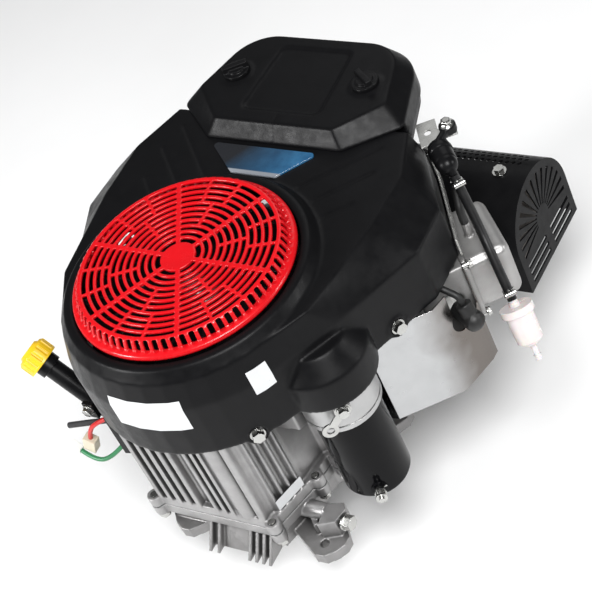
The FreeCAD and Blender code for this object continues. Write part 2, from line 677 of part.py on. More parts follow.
def blower_housing():
    ring = tube(132.0, 121.5, 318.0, 334.0)
    slope = Part.makeCone(140.0, 132.0, 12.0, V(0, 0, HOUSING_TOP - 1), V(0, 0, 1)).cut(cyl(126.0, 300, 340))
    ears = [Part.makeCylinder(12.5, 13.0, c - out * 12.0, out) for c, out in wall_seats()]
    outer = housing_shape(0.0, HOUSING_Z0, SHOULDER_Z, HOUSING_TOP, 54.0)
    inner = housing_shape(WALL, HOUSING_Z0 - 8.0, SHOULDER_Z - 1.0, HOUSING_TOP - WALL, 54.0 - WALL)
    body = fuse([outer, ring, slope] + ears)
    grooves = []
    for side in (1, -1):
        grooves.append(groove(58, 133, 126, 201, side))
        grooves.append(groove(84, 117, 134, 167, side))
        grooves.append(groove(105, 96, 131, 122, side))
    carb_gap = box(-95, 95, 224, 236, 200, 284)
    body = cut(body, [inner, cyl(121.5, 316.0, 340.0), carb_gap] + grooves)
    holes = [Part.makeCylinder(4.2, 30.0, c - out * 20.0, out) for c, out in wall_seats()]
    cups = [Part.makeCylinder(10.0, 4.0, c - out * 1.8, out) for c, out in wall_seats()]
    return cut(body, holes + cups)


def housing_bolts():
    return [bolt(tuple(c - out * 1.75), tuple(out), 12.0, 4.0, 10.5, 8.2) for c, out in wall_seats()]


def badge():
    plate = prism(BADGE_OUTLINE, HOUSING_TOP + 0.02, HOUSING_TOP + 2.6)
    edges = [e for e in plate.Edges if abs(e.BoundBox.ZLength - 2.58) < 0.01]
    return plate.makeFillet(4.0, edges)


def housing_label(a0, a1, z0, z1):
    """A film on the housing wall between two angles and two heights."""
    sector = Part.makeCylinder(WALL_R + 4, z1 - z0, V(0, 0, z0), V(0, 0, 1), a1 - a0)
    sector.rotate(V(0, 0, 0), V(0, 0, 1), a0)
    outer = sector.common(fuse(housing_walls(-0.35, z0 - 3, SHOULDER_Z, HOUSING_TOP)))
    return cut(outer, housing_walls(-0.02, z0 - 4, SHOULDER_Z, HOUSING_TOP))


def labels():
    return [housing_label(260.0, 293.0, 262.0, 301.0), housing_label(321.0, 330.0, 276.0, 305.0), case_label()]


def case_label():
    """A narrow strip over the tips of the crankcase side ribs."""
    start = V(51.7, -87.7, 62)
    along = V(9.3, 33.0, 0).normalize()
    out = V(33.0, -9.3, 0).normalize()
    corners = [start + out * d + along * t for d, t in ((1.2, -2.5), (1.2, 36.5), (1.5, 36.5), (1.5, -2.5))]
    return prism([(c.x, c.y) for c in corners], 62.0, 76.0)


# ---------------------------------------------------------------- air cleaner

def cover_solid(inset, z_low, z_high, z_top):
    rim = mirrored(COVER_RIM)
    lower = rounded_slab(rim, inset, z_low, z_high)
    crown = rounded_wire(mirrored(COVER_CROWN), inset, z_top)
    return fuse([lower, Part.makeLoft([rounded_wire(rim, inset, z_high), crown], True, True)])


def air_cleaner_cover():
    body = cover_solid(0.0, 300.0, 325.0, COVER_TOP)
    body = cut(body, [box(-200, 200, 100, 232.6, 290, HOUSING_TOP + 0.3)])
    seats = [cyl(18.0, 330.0, COVER_TOP + 1.0, x, y) for x, y in KNOB_XY]
    body = fuse([body] + seats)
    inner = cover_solid(WALL, 290.0, 323.5, COVER_TOP - WALL)
    inner = cut(inner, [box(-200, 200, 100, 236, 280, HOUSING_TOP + 3.5)])
    dish = rounded_slab(COVER_DISH, 0.0, COVER_TOP - 2.0, COVER_TOP + 5)
    seam = box(-0.7, 0.7, 180, 215, HOUSING_TOP - 5, COVER_TOP + 1)
    seam = seam.cut(cover_solid(1.2, 280, 325, COVER_TOP - 1.2))
    tools = [inner, dish, seam] + [cyl(3.6, 320, 360, x, y) for x, y in KNOB_XY]
    return cut(body, tools)


def knob(x, y):
    base = cyl(15.0, COVER_TOP + 1.35, COVER_TOP + 5.4, x, y)
    wing = box(x - 14, x + 14, y - 3.4, y + 3.4, COVER_TOP + 5.3, COVER_TOP + 12.5)
    wing.rotate(V(x, y, 0), V(0, 0, 1), 35.0 if x < 0 else -35.0)
    collar = cyl(9.5, COVER_TOP + 5.3, COVER_TOP + 8.0, x, y)
    stem = cyl(3.3, 305.0, COVER_TOP + 2.0, x, y)
    foot_bar = box(x - 7.5, x + 7.5, y - 2.4, y + 2.4, 303.0, 307.0)
    return fuse([base, wing, collar, stem, foot_bar])


def air_cleaner_base():
    tray = rounded_slab(mirrored(COVER_RIM), 4.0, 288.0, 297.0)
    tray = tray.cut(box(-200, 200, 100, 236.0, 280, 300))
    throat = tube(26.0, 19.0, 262.0, 289.0, 0, 262)
    spindle_posts = [tube(9.0, 3.8, 290.0, 299.0, x, y) for x, y in KNOB_XY]
    body = fuse([tray, throat] + spindle_posts)
    latch = [cyl(8.2, 302.2, 330, x, y) for x, y in KNOB_XY]
    return cut(body, [cyl(19.0, 280, 300, 0, 262)] + latch)


def air_filter():
    outer = box(-66, 66, 241, 318, 297.2, 332)
    hollow = box(-48, 48, 250, 306, 290, 340)
    body = outer.cut(hollow)
    pleats = [box(-64 + 8 * i, -60 + 8 * i, 240, 244, 301, 328) for i in range(17)]
    pleats += [box(-64 + 8 * i, -60 + 8 * i, 315, 319, 301, 328) for i in range(17)]
    return cut(body, pleats)


# ---------------------------------------------------------------- intake and carburettor

def carburettor():
    body = box(-34, 34, 226, 290, 206, 250)
    bowl = cyl(27.0, 176, 207, 0, 252)
    stack = cyl(25.0, 249, 261.9, 0, 262)
    flange = box(-42, 42, 218, 226.5, 204, 252)
    solid = fuse([body, bowl, stack, flange])
    bore = rod((0, 190, 228), (0, 262, 228), 15.0)
    riser = cyl(15.0, 228, 270, 0, 262)
    shafts = [rod((-80, 234, 228), (80, 234, 228), 4.06), rod((-80, 276, 240), (80, 276, 240), 4.06)]
    return cut(solid, [bore, riser] + shafts)


def lever(x, y, z, length, down):
    """A spindle along X with a flat arm at its outer end."""
    sign = 1 if x > 0 else -1
    spindle = rod((sign * 18.0, y, z), (x, y, z), 4.0)
    arm = prism_x([(-6, -6), (6, -6), (4, length), (-4, length)], 0, 3.0)
    arm = fuse([arm, Part.makeCylinder(8.0, 3.0, V(0, 0, 0), V(1, 0, 0))])
    if down:
        arm.rotate(V(0, 0, 0), V(1, 0, 0), 180)
    arm.translate(V(x - 1.5, y, z))
    return fuse([spindle, arm])


def intake_manifold():
    centre = rod((0, 186, 228), (0, 217.9, 228), 21.0)
    runs = [centre]
    for side in ("right", "left"):
        s = exhaust_sign(side)
        a = math.radians(BANK_DEG[side])
        start = V(math.cos(a) * 226 - math.sin(a) * s * 42, math.sin(a) * 226 + math.cos(a) * s * 42,
                  BANK_Z[side] + 18)
        end = V(0, 190, 224)
        runs.append(Part.makeCylinder(13.5, (end - start).Length, start, end - start))
        flange_box = box(206, 246, 50.4, 56.4, 3, 33)
        if side == "left":
            flange_box = box(206, 246, -56.4, -50.4, 3, 33)
        runs.append(on_bank(flange_box, side))
    runs.append(Part.makeSphere(21.0, V(0, 190, 226)))
    flange = box(-42, 42, 211, 217.9, 204, 252)
    clear_right = on_bank(box(150, 320, -60, 50.35, -60, 60), "right")
    clear_left = on_bank(box(150, 320, -50.35, 60, -60, 60), "left")
    return cut(fuse(runs + [flange]), [clear_right, clear_left])


# ---------------------------------------------------------------- exhaust

def d_section(radius, z_flat, x0, x1):
    y, z = GUARD_YZ
    arc = Part.makeCylinder(radius, x1 - x0, V(x0, y, z), V(1, 0, 0))
    legs = box(x0, x1, y - radius, y + radius, z_flat, z)
    return fuse([arc, legs]).common(box(x0 - 1, x1 + 1, y - 200, y + 200, z_flat, z + 200))


def muffler():
    x0, x1 = GUARD_X[0] + 14, GUARD_X[1] - 16
    body = d_section(50.0, GUARD_FLAT_Z + 12, x0, x1)
    seam = d_section(53.0, GUARD_FLAT_Z + 9, (x0 + x1) / 2 - 2, (x0 + x1) / 2 + 2)
    y, z = GUARD_YZ
    outlet = rod((x0 + 50, y, z + 10), (x0 + 50, y + 74, z - 10), 14.0)
    body = fuse([body, seam, outlet])
    body = cut(body, [rod((x0 + 50, y + 30, z + 2), (x0 + 50, y + 90, z - 14), 12.0)])
    studs = [cyl(4.0, z + 48.5, z + 63.9, x, y) for x in GUARD_BOLT_X]
    return fuse([body] + studs)


def muffler_guard():
    x0, x1 = GUARD_X
    y, z = GUARD_YZ
    shell = d_section(GUARD_R, GUARD_FLAT_Z, x0, x1)
    shell = cut(shell, [d_section(GUARD_R - 2.0, GUARD_FLAT_Z - 5, x0 - 1, x1 - 2.0)])
    tools = []
    for i in range(15):
        slot = prism_x([(14, -0.8), (55, -2.6), (55, 2.6), (14, 0.8)], x1 - 6, x1 + 3)
        slot.rotate(V(0, 0, 0), V(1, 0, 0), -10 + 200.0 * i / 14)
        slot.translate(V(0, y, z))
        tools.append(slot)
    for i in range(3):
        zz = GUARD_FLAT_Z + 7 + 10.5 * i
        half = 54.0
        tools.append(box(x1 - 6, x1 + 3, y + 6, y + half, zz, zz + 5))
        tools.append(box(x1 - 6, x1 + 3, y - half, y - 6, zz, zz + 5))
    for degrees, shift in GUARD_HOLE_ROWS:
        angle = math.radians(degrees)
        out = V(0, math.cos(angle), math.sin(angle))
        xs = [x0 + shift + GUARD_HOLE_PITCH * i for i in range(46)]
        tools += [Part.makeCylinder(2.8, 12.0, V(x, y, z) + out * 56, out) for x in xs if x0 + 12 < x < x1 - 12]
    for side in ("right", "left"):
        start, out, knee, target = exhaust_run(side)
        tools.append(rod(knee, target, 17.0))
    tools += [cyl(4.3, z + 50, z + 80, x, y) for x in GUARD_BOLT_X]
    tools.append(box(x0 + 30, x0 + 98, y + 40, y + 80, 70, 150))
    return cut(shell, tools)


def guard_bolts():
    y, z = GUARD_YZ
    return [bolt((x, y, z + GUARD_R + 0.1), (0, 0, 1), 10.0, 2.0, 0.05, 8.0) for x in GUARD_BOLT_X]


def exhaust_face(side):
    s = exhaust_sign(side)
    local = V(226, s * 62.05, -20)
    a = math.radians(BANK_DEG[side])
    x = local.x * math.cos(a) - local.y * math.sin(a)
    y = local.x * math.sin(a) + local.y * math.cos(a)
    out = V(-s * math.sin(a), s * math.cos(a), 0)
    return V(x, y, BANK_Z[side] - 20), out


def exhaust_run(side):
    start, out = exhaust_face(side)
    y, z = GUARD_YZ
    knee = start + out * 22.0
    return start, out, knee, V(knee.x * 0.93, y - 40.0, z + 4)


def exhaust_pipe(side):
    start, out, knee, target = exhaust_run(side)
    plate = Part.makeCylinder(15.0, 5.0, start, out)
    first = Part.makeCylinder(11.5, 22.0, start, out)
    ball = Part.makeSphere(11.5, knee)
    second = Part.makeCylinder(11.5, (target - knee).Length, knee, target - knee)
    body = fuse([plate, first, ball, second])
    return cut(body, [d_section(50.1, GUARD_FLAT_Z + 11.9, GUARD_X[0] + 13.9, GUARD_X[1] - 15.9)])


# ---------------------------------------------------------------- starter

def starter_can():
    x, y = STARTER_XY
    can = cyl(CAN_R, CAN_Z[0] + 3, CAN_Z[1], x, y)
    cap = cyl(CAN_R - 1.5, CAN_Z[0], CAN_Z[0] + 4, x, y)
    edge = Part.makeCone(CAN_R - 4, CAN_R - 1.5, 3.0, V(x, y, CAN_Z[0] - 3), V(0, 0, 1))
    out = terminal_direction()
    seat_hole = Part.makeCylinder(9.05, 12.0, V(x, y, 72) + out * (CAN_R - 3.6), out)
    holes = [cyl(2.6, 40, 200, px, py) for px, py in through_bolt_points()]
    return cut(fuse([can, cap, edge]), [cyl(7.06, CAN_Z[0] + 35, 200, x, y), seat_hole] + holes)


def through_bolt_points():
    x, y = STARTER_XY
    return [(x + 27 * math.cos(a), y + 27 * math.sin(a)) for a in (math.radians(36), math.radians(216))]


def earth_axis():
    return V(0.67, -0.743, 0).normalize()


def earth_seat():
    return V(STARTER_XY[0], STARTER_XY[1], 212.0) + earth_axis() * 47.0


def starter_nose():
    x, y = STARTER_XY
    lower = cyl(NOSE_R, NOSE_Z[0], 214.0, x, y)
    cone = Part.makeCone(NOSE_R, NOSE_R - 5.0, NOSE_Z[1] - 214.0, V(x, y, 214.0), V(0, 0, 1))
    groove_ring = tube(NOSE_R + 1, NOSE_R - 1.2, 182.0, 184.0, x, y)
    boss = Part.makeCylinder(9.0, 20.0, earth_seat() - earth_axis() * 20.0, earth_axis())
    body = fuse([lower, cone, boss])
    tools = [cyl(24.0, 192.0, 230.0, x, y), cyl(7.06, 150.0, 230.0, x, y), groove_ring]
    tools += [cyl(2.6, 150, 188, px, py) for px, py in through_bolt_points()]
    tools.append(Part.makeCylinder(3.05, 14.0, earth_seat() - earth_axis() * 12.0, earth_axis()))
    return cut(body, tools)


def starter_bolts():
    bolts = []
    for px, py in through_bolt_points():
        shaft = cyl(2.5, CAN_Z[0] - 4.0, 186.0, px, py)
        head_piece = hex_head((px, py, CAN_Z[0] - 3.05), (0, 0, -1), 8.0, 4.0)
        bolts.append(fuse([shaft, head_piece]))
    return bolts


def starter_shaft():
    x, y = STARTER_XY
    return cyl(7.0, CAN_Z[0] + 36, 247.0, x, y)


def starter_pinion():
    x, y = STARTER_XY
    wheel = gear(12, 15.2, 2.16, 230.0, 246.0, x, y, 0.0)
    clutch = cyl(12.0, 221.0, 230.5, x, y)
    return fuse([wheel, clutch]).cut(cyl(7.06, 200, 250, x, y))


def terminal_direction():
    a = math.radians(-54)
    return V(math.cos(a), math.sin(a), 0)


def starter_terminal():
    x, y = STARTER_XY
    out = terminal_direction()
    root = V(x, y, 72)
    seat = Part.makeCylinder(9.0, 5.0, root + out * (CAN_R - 3.5), out)
    stud = Part.makeCylinder(3.0, 16.0, root + out * (CAN_R + 1), out)
    return fuse([seat, stud])


def terminal_nuts():
    x, y = STARTER_XY
    out = terminal_direction()
    root = V(x, y, 72)
    nuts = []
    for r in (CAN_R + 1.6, CAN_R + 8.0):
        nut = hex_head(tuple(root + out * r), tuple(out), 10.0, 5.0)
        washer = Part.makeCylinder(6.5, 1.2, root + out * (r + 5.0), out)
        nuts.append(fuse([nut, washer]).cut(Part.makeCylinder(3.0, 40.0, root + out * 30, out)))
    return nuts


def earth_bolt():
    return bolt(tuple(earth_seat() + earth_axis() * 2.1), tuple(earth_axis()), 10.0, 3.0, 12.0, 7.0)


def ring_terminal():
    """Two eyes joined by a strap that leans 45 degrees from upright."""
    out = earth_axis()
    seat = earth_seat() + out * 0.05
    strap = Part.makeBox(9.0, 2.0, 26.0, V(-4.5, 0, -26.0))
    strap.Placement = FreeCAD.Placement(seat, FreeCAD.Rotation(V(0, 1, 0), out))
    far = seat + V(0, 0, -28)
    body = fuse([Part.makeCylinder(8.8, 2.0, seat, out), strap, Part.makeCylinder(8.8, 2.0, far, out)])
    holes = [Part.makeCylinder(3.1, 6.0, seat - out * 2, out), Part.makeCylinder(4.2, 6.0, far - out * 2, out)]
    body = cut(body, holes)
    body.rotate(seat, out, -45)
    return body


# ---------------------------------------------------------------- sheet metal, controls, fuel

def air_guide(side):
    sign = -1 if side == "right" else 1
    top = HOUSING_Z0 - 1.0 - BANK_Z[side]
    outer_pts = [(120, 50), (120, 80), (128, 86), (204, 90), (244, 66), (252, 58), (252, 50)]
    inner_pts = [(110, 40), (121.2, 79.5), (128.6, 84.7), (203.7, 88.7), (243.3, 64.9), (251, 57), (251, 40)]
    outer = prism([(u, v * sign) for u, v in outer_pts], -84, top)
    inner = prism([(u, v * sign) for u, v in inner_pts], -82.8, top + 5)
    shell = cut(outer, [inner])
    notch = box(222, 260, min(sign * 108, sign * 56), max(sign * 108, sign * 56), -4, 80)
    cap_hole = Part.makeCylinder(16.5, 60.0, V(234, sign * 45.0, 0), V(0, sign, 0))
    return on_bank(cut(shell, [cap_hole, notch]), side)


STRAP_OUT = V(77, 55, 0).normalize()
STRAP_ALONG = V(-55, 77, 0).normalize()


def strap_plate(along0, along1, z0, z1):
    """A 2 mm plate standing 2 mm outside the rear right wall of the housing."""
    a = V(150, 232, 0) + STRAP_OUT * 2.0 + STRAP_ALONG * along0
    b = V(150, 232, 0) + STRAP_OUT * 2.0 + STRAP_ALONG * along1
    c = b + STRAP_OUT * 2.0
    d = a + STRAP_OUT * 2.0
    return prism([(a.x, a.y), (b.x, b.y), (c.x, c.y), (d.x, d.y)], z0, z1)


def strap_point(along, out):
    """A point in plan, from the rear right corner of the housing wall."""
    spot = V(150, 232, 0) + STRAP_OUT * out + STRAP_ALONG * along
    return spot.x, spot.y


PUMP_SEAT = strap_point(-2.0, 31.0)


def shelf(along0, along1, out0, out1, z0, z1):
    return prism([strap_point(along0, out0), strap_point(along1, out0), strap_point(along1, out1),
                  strap_point(along0, out1)], z0, z1)


def control_bracket():
    """Zinc strap along the rear right edge of the housing, with a shelf beside the cover."""
    run = strap_plate(-96.0, 1.0, 222.0, 245.0)
    riser = strap_plate(0.0, 24.0, 222.0, 305.0)
    top = shelf(-14.0, 24.0, -1.0, 20.0, 303.0, 305.0)
    lug = shelf(-10.0, 6.0, 19.0, 39.0, 303.0, 305.0)
    holes = [cyl(3.4, 290, 320, *PUMP_SEAT), cyl(4.0, 290, 320, *strap_point(6.0, 9.0))]
    return cut(fuse([run, riser, top, lug]), holes)


def fuel_pump():
    x, y = PUMP_SEAT
    start = V(*FUEL_HOSE[0])
    along = hose_direction(0, 1)
    knuckle = V(192.5, 206.5, 300)
    ear = tube(9.2, 3.2, 305.1, 314.0, x, y)
    arm = rod((x, y, 309.6), (176, 224, 309.6), 4.4).cut(cyl(3.2, 290, 320, x, y))
    body = rod((172, 228, 301), (190, 209, 299.5), 12.0)
    collar = rod((176, 223.8, 300.7), (180, 219.6, 300.3), 13.2)
    nose = rod(knuckle, start - along * 7.5, 7.5)
    spigot = Part.makeCylinder(4.4, 8.0, start - along * 8.05, along)
    return fuse([ear, arm, body, collar, Part.makeSphere(11.0, knuckle), nose, spigot])


def pump_bolt():
    x, y = PUMP_SEAT
    return bolt((x, y, 314.05), (0, 0, 1), 10.0, 3.0, 14.0, 7.0)


def hose_direction(i, j):
    return (V(*FUEL_HOSE[j]) - V(*FUEL_HOSE[i])).normalize()


def fuel_hose():
    return bent_tube(FUEL_HOSE, HOSE_R)


def clamp(at, direction):
    band = Part.makeCylinder(HOSE_R + 1.3, 7.0, at, direction).cut(
        Part.makeCylinder(HOSE_R + 0.05, 20.0, at - direction * 5, direction))
    across = direction.cross(V(0, 0, 1)).normalize()
    out = direction.cross(across).normalize() * -1.0
    lug = Part.makeCylinder(3.2, 12.0, at + direction * 3.5 + out * 8.6 - across * 6, across)
    return fuse([band, lug])


def hose_clamps():
    upper = hose_direction(0, 1)
    lower = hose_direction(2, 3)
    return [clamp(V(*FUEL_HOSE[0]) + upper * 5.0, upper), clamp(V(*FUEL_HOSE[3]) - lower * 12.0, lower)]


FILTER_AXIS = V(0.33, -0.33, -0.885).normalize()


def fuel_filter():
    along = hose_direction(2, 3)
    mouth = V(*FUEL_HOSE[3]) + along * 0.05
    axis = FILTER_AXIS
    top = mouth + along * 3.0
    stub = Part.makeCylinder(4.6, 4.5, mouth, along)
    neck = Part.makeCylinder(5.6, 6.0, top, axis)
    rim = Part.makeCylinder(18.0, 8.0, top + axis * 4, axis)
    can = Part.makeCone(15.0, 14.2, 32.0, top + axis * 11.5, axis)
    end = Part.makeCone(14.2, 8.0, 5.0, top + axis * 43, axis)
    nipple = Part.makeCylinder(3.2, 20.0, top + axis * 47, axis)
    barb = Part.makeCone(4.4, 3.2, 3.0, top + axis * 61, axis)
    solid = fuse([stub, neck, rim, can, end, nipple, barb])
    return solid.cut(Part.makeCylinder(2.0, 12.0, top + axis * 56, axis))


def breather_hose():
    points = [(197.99, 190.92, 232.1), (197.99, 190.92, 248.0), (193.0, 203.0, 264.0), (186.0, 219.0, 276.0)]
    return bent_tube(points, 4.6)


def ignition_coil(side):
    core = box(119.5, 136, -22, 22, 268, 288)
    core = core.cut(box(119, 131, -10, 10, 260, 300))
    winding = box(123.5, 141, -9.8, 9.8, 264, 292)
    body = fuse([core, winding])
    return turned(body, 45.0 if side == "right" else 135.0)


def oil_tube():
    run = (TUBE_TOP - TUBE_BASE)
    direction = V(run.x, run.y, run.z).normalize()
    pipe = Part.makeCylinder(TUBE_R, run.Length, TUBE_BASE, direction)
    collar = Part.makeCylinder(TUBE_R + 3.0, 10.0, TUBE_TOP - direction * 10, direction)
    ring = Part.makeCylinder(TUBE_R + 3.4, 5.0, TUBE_BASE + direction * 0.5, direction)
    bracket = Part.makeBox(14, 24, 5, V(-158, -86, 160))
    tab = Part.makeBox(14, 5, 22, V(-158, -86, 160))
    body = fuse([pipe, collar, ring, bracket, tab])
    bore = Part.makeCylinder(TUBE_R - 2.0, run.Length + 40, TUBE_BASE - direction * 20, direction)
    return cut(body, [bore, Part.makeCylinder(3.2, 20, V(-151, -95, 174), V(0, 1, 0))])


def oil_tube_bolt():
    return bolt((-151, -86.1, 174), (0, -1, 0), 10.0, 3.0, 12.0, 7.0)


def oil_cap():
    run = (TUBE_TOP - TUBE_BASE)
    direction = V(run.x, run.y, run.z).normalize()
    start = TUBE_TOP + direction * 0.4
    skirt = Part.makeCylinder(20.0, 16.0, start, direction)
    shoulder = Part.makeCone(20.0, 17.0, 3.0, start + direction * 16, direction)
    crown = Part.makeCone(15.0, 12.0, 3.5, start + direction * 18.5, direction)
    body = fuse([skirt, shoulder, crown])
    flutes = around(Part.makeCylinder(2.4, 24.0, V(21.0, 0, 2.5), V(0, 0, 1)), 14)
    place = FreeCAD.Placement(start, FreeCAD.Rotation(V(0, 0, 1), direction))
    for f in flutes:
        f.Placement = place.multiply(f.Placement)
    body = cut(body, flutes)
    plug = Part.makeCylinder(TUBE_R - 2.4, 12.0, start - direction * 11.9, direction)
    blade = Part.makeCylinder(2.2, 118.0, start - direction * 126, direction)
    return fuse([body, plug, blade])


def lead_end(points, length, width, height):
    """A block that carries on from the free end of a lead."""
    last = V(*points[-1])
    direction = (last - V(*points[-2])).normalize()
    block = Part.makeBox(width, height, length, V(-width / 2, -height / 2, 0))
    block.Placement = FreeCAD.Placement(last + direction * 0.05, FreeCAD.Rotation(V(0, 0, 1), direction))
    return block


def harness_clip():
    return prism([(-100.6, -98.0), (-104.0, -80.0), (-119.6, -83.0), (-116.2, -101.0)], 126.0, 186.0)


def regulator():
    body = prism([(-118.5, -62.0), (-123.5, -34.0), (-142.0, -37.8), (-137.0, -66.0)], 176.0, 212.0)
    slots = [box(-150, -132 - i, -61.5 + 6.5 * i, -58.5 + 6.5 * i, 170, 220) for i in range(4)]
    return cut(body, slots)


def parts():
    yield "crankcase", [crankcase()]
    yield "gaskets", [gasket(), head_gasket("right"), head_gasket("left")]
    yield "sump", [sump()]
    yield "case_bolts", crankcase_bolts()
    yield "drain_plug", [drain_plug()]
    yield "oil_tube", [oil_tube(), oil_tube_bolt()]
    yield "oil_cap", [oil_cap()]
    yield "harness_clip", [harness_clip()]
    yield "charge_lead", [bent_tube(CHARGE_LEAD, LEAD_R)]
    yield "charge_plug", [lead_end(CHARGE_LEAD, 20.0, 15.0, 11.0)]
    yield "stop_lead", [bent_tube(STOP_LEAD, LEAD_R)]
    yield "stop_plug", [lead_end(STOP_LEAD, 15.0, 8.0, 8.0)]
    yield "harness_sleeve", [bent_tube(HARNESS_SLEEVE, SLEEVE_R)]
    yield "regulator", [regulator()]
    yield "bearings", bearings()
    yield "back_plate", [back_plate()]
    for side in ("right", "left"):
        yield "piston_" + side, [piston(side), piston_pin(side)] + piston_rings(side)
    for name, build in (("cylinders", cylinder), ("heads", head), ("valve_covers", valve_cover),
                        ("plug_caps", plug_cap), ("air_guides", air_guide), ("exhaust_pipes", exhaust_pipe)):
        yield name, [build("right"), build("left")]
    yield "valve_cover_bolts", valve_cover_bolts("right") + valve_cover_bolts("left")
    yield "spark_plugs", [spark_plug("right"), spark_plug("left")]
    yield "plug_leads", [plug_lead("right"), plug_lead("left")]
    yield "ignition_coils", [ignition_coil("right"), ignition_coil("left")]
    yield "crankshaft", [crankshaft(), crank_gear()]
    yield "camshaft", [camshaft(), cam_gear()]
    yield "flywheel", [flywheel(), flywheel_magnet()]
    yield "ring_gear", [ring_gear()]
    yield "flywheel_nut", [flywheel_nut()]
    yield "fan", [fan()]
    yield "screen", [screen()]
    yield "blower_housing", [blower_housing()]
    yield "housing_bolts", housing_bolts()
    yield "badge", [badge()]
    yield "labels", labels()
    yield "air_cleaner_cover", [air_cleaner_cover()]
    yield "knob_left", [knob(*KNOB_XY[0])]
    yield "knob_right", [knob(*KNOB_XY[1])]
    yield "air_cleaner_base", [air_cleaner_base()]
    yield "air_filter", [air_filter()]
    yield "carburettor", [carburettor()]
    yield "throttle_lever", [lever(52.0, 234.0, 228.0, 24.0, True)]
    yield "choke_lever", [lever(-52.0, 276.0, 240.0, 22.0, True)]
    yield "intake_manifold", [intake_manifold()]
    yield "muffler", [muffler()]
    yield "muffler_guard", [muffler_guard()] + guard_bolts()
    yield "starter_can", [starter_can(), starter_terminal()] + terminal_nuts() + starter_bolts()
    yield "starter_nose", [starter_nose()]
    yield "starter_drive", [starter_shaft(), starter_pinion()]
    yield "ring_terminal", [ring_terminal(), earth_bolt()]
    yield "control_bracket", [control_bracket()]
    yield "fuel_pump", [fuel_pump(), pump_bolt()]
    yield "breather_hose", [breather_hose()]
    yield "fuel_hose", [fuel_hose()]
    yield "hose_clamps", hose_clamps()
    yield "fuel_filter", [fuel_filter()]


for name, shapes in parts():
    for shape in shapes:
        if len(shape.Solids) != 1 or not shape.isValid():
            print("CHECK", name, len(shape.Solids), shape.isValid())
    solids = [s for shape in shapes for s in shape.Solids]
    Part.makeCompound(solids).exportStep("parts/" + name + ".step")
    print(name, len(solids), "%.0f" % sum(s.Volume for s in solids))
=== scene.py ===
import json
import math

import bmesh
import bpy
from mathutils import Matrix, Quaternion, Vector


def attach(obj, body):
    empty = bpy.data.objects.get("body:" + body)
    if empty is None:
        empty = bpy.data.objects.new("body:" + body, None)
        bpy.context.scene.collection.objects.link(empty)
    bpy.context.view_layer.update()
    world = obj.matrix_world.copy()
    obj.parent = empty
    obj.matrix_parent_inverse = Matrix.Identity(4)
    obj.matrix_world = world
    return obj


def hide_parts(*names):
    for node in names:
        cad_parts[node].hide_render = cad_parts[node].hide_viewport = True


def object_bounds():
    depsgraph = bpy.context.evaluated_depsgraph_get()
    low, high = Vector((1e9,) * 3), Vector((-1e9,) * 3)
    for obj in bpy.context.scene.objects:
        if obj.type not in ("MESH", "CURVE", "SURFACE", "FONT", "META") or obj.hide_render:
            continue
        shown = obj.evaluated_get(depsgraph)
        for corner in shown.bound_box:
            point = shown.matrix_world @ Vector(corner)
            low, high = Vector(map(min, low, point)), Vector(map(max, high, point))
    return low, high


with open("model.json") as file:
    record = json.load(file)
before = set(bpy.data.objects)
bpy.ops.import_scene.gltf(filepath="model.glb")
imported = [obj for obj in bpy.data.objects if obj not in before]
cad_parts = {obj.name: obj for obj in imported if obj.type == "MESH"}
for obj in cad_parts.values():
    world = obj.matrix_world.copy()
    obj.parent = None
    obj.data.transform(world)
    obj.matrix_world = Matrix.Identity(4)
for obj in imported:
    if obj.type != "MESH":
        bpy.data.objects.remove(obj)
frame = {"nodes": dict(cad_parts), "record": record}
CAD_BOX = [list(v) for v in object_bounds()]
NODES = frame["nodes"]
BODY_OF = {n: b for b, names in frame["record"]["behaviour"]["bodies"].items() for n in names}
SLOT_OF = {s["node"]: s["material_slot"] for s in frame["record"]["subparts"]}
MM = 0.001

# ---------------------------------------------------------------- camera

CAMERA_AT = Vector((1.1718, -0.9672, 1.6264))
CAMERA_TARGET = Vector((0.1027, 0.0227, 0.2878))
CAMERA_LENS = 121.6
CAMERA_ROLL = -26.97


def make_camera():
    data = bpy.data.cameras.new("camera")
    data.lens = CAMERA_LENS
    data.sensor_width = 36.0
    data.clip_start = 0.05
    camera = bpy.data.objects.new("camera", data)
    bpy.context.scene.collection.objects.link(camera)
    camera.location = CAMERA_AT
    camera.rotation_mode = "QUATERNION"
    look = (CAMERA_TARGET - CAMERA_AT).to_track_quat("-Z", "Y")
    camera.rotation_quaternion = look @ Quaternion((0.0, 0.0, 1.0), math.radians(CAMERA_ROLL))
    bpy.context.scene.camera = camera


# ---------------------------------------------------------------- node helpers

def new_material(name):
    material = bpy.data.materials.new(name)
    material.use_nodes = True
    tree = material.node_tree
    return material, tree, tree.nodes["Principled BSDF"]


def add(tree, kind, inputs=None, **settings):
    node = tree.nodes.new(kind)
    for key, value in settings.items():
        setattr(node, key, value)
    for key, value in (inputs or {}).items():
        node.inputs[key].default_value = value
    return node


def noise(tree, scale, detail=4.0, rough=0.55, stretch=None):
    """A noise in the row's own coordinates; scale is in cycles per metre."""
    coords = add(tree, "ShaderNodeTexCoord")
    out = add(tree, "ShaderNodeTexNoise", {"Scale": scale, "Detail": detail, "Roughness": rough})
    if stretch:
        mapping = add(tree, "ShaderNodeMapping", {"Scale": stretch})
        tree.links.new(coords.outputs["Object"], mapping.inputs["Vector"])
        tree.links.new(mapping.outputs["Vector"], out.inputs["Vector"])
    else:
        tree.links.new(coords.outputs["Object"], out.inputs["Vector"])
    return out.outputs["Fac"]


def remap(tree, value, low, high, start=0.3, end=0.7):
    """The value from start..end stretched to low..high, and clamped there."""
    limits = {"From Min": start, "From Max": end, "To Min": low, "To Max": high}
    node = add(tree, "ShaderNodeMapRange", limits)
    tree.links.new(value, node.inputs["Value"])
    return node.outputs["Result"]


